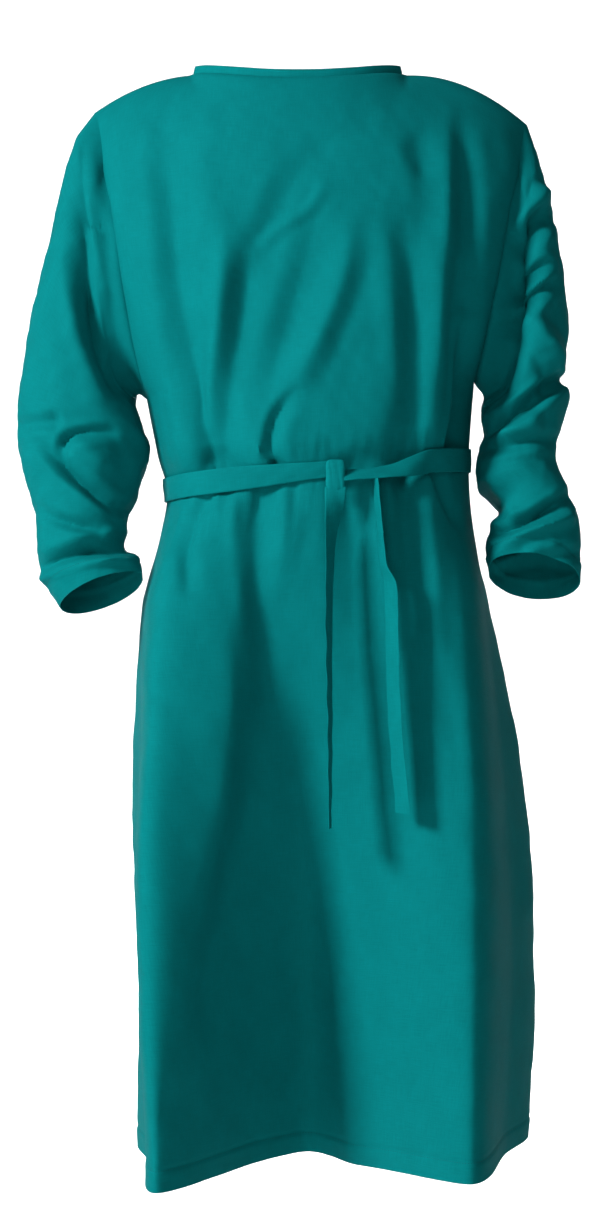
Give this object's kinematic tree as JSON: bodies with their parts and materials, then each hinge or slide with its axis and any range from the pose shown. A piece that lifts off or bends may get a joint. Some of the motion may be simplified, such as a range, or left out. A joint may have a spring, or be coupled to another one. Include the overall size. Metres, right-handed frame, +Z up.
{
  "type": "surgical gown",
  "caption": "Long-sleeved teal-green woven surgical gown in its worn shape, with a bound neckline, a belt tied in front and a lapped, tied back",
  "frame": {"origin": "Midway between the shoulder seams, level with the neckline, where the gown hangs on the wearer's shoulders", "axes": "+Z up, the wearer faces -Y, the wearer's left arm is at +X"},
  "size_m": [0.5991, 0.379, 1.1732],
  "materials": {
    "gown_cloth": "plain woven cotton and polyester cloth, matt with a faint sheen"
  },
  "bodies": {
    "root": {"front_panel": "gown_cloth", "back_panel_right": "gown_cloth", "back_panel_left": "gown_cloth", "sleeve_right": "gown_cloth", "sleeve_left": "gown_cloth", "neck_binding": "gown_cloth", "belt": "gown_cloth", "belt_knot": "gown_cloth", "belt_end_right": "gown_cloth", "belt_end_left": "gown_cloth", "neck_tie_knot": "gown_cloth", "neck_tie_end_right": "gown_cloth", "neck_tie_end_left": "gown_cloth"}
  },
  "joints": []
}
